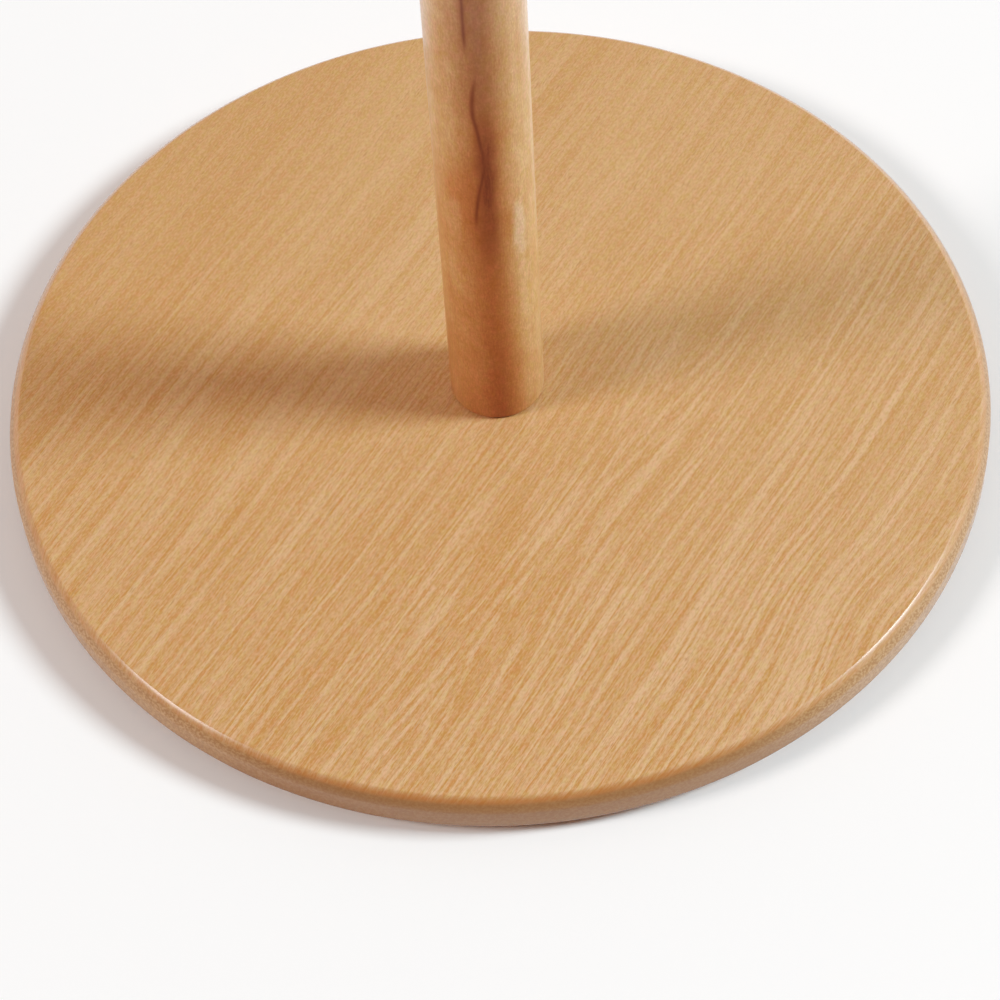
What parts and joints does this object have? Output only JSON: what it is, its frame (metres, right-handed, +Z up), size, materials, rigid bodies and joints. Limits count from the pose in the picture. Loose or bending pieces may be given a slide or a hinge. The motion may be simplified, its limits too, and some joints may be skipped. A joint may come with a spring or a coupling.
{
  "type": "mug tree",
  "caption": "Countertop mug tree: thin round wooden base board, plain dowel post, slanting pegs in opposite pairs at rising heights, and a ball knob.",
  "frame": {"origin": "on the table under the middle of the base, level with the feet's undersides", "axes": "+Z up the post, +X right, -Y the front, which faces the picture's camera; the lowest pair of pegs lies along X"},
  "size_m": [0.2, 0.2, 0.3586],
  "materials": {
    "board_wood": "satin lacquer over orange-brown straight-grained wood with pale flecked streaks",
    "post_wood": "satin lacquer over light reddish-brown dowel wood with darker heart streaks",
    "zinc_plated_steel": "bright zinc plate, slightly dulled",
    "brass": "plain turned brass",
    "foot_rubber": "matt dark rubber, self-adhesive"
  },
  "bodies": {
    "root": {"base_board": "board_wood", "post": "post_wood", "peg_low_right": "post_wood", "peg_low_left": "post_wood", "peg_middle_back_right": "post_wood", "peg_middle_front_left": "post_wood", "peg_top_back_left": "post_wood", "peg_top_front_right": "post_wood", "top_knob": "post_wood", "knob_dowel": "post_wood", "base_bolt": "zinc_plated_steel", "base_washer": "zinc_plated_steel", "post_insert": "brass", "foot_back_right": "foot_rubber", "foot_back_left": "foot_rubber", "foot_front_left": "foot_rubber", "foot_front_right": "foot_rubber"}
  },
  "joints": []
}
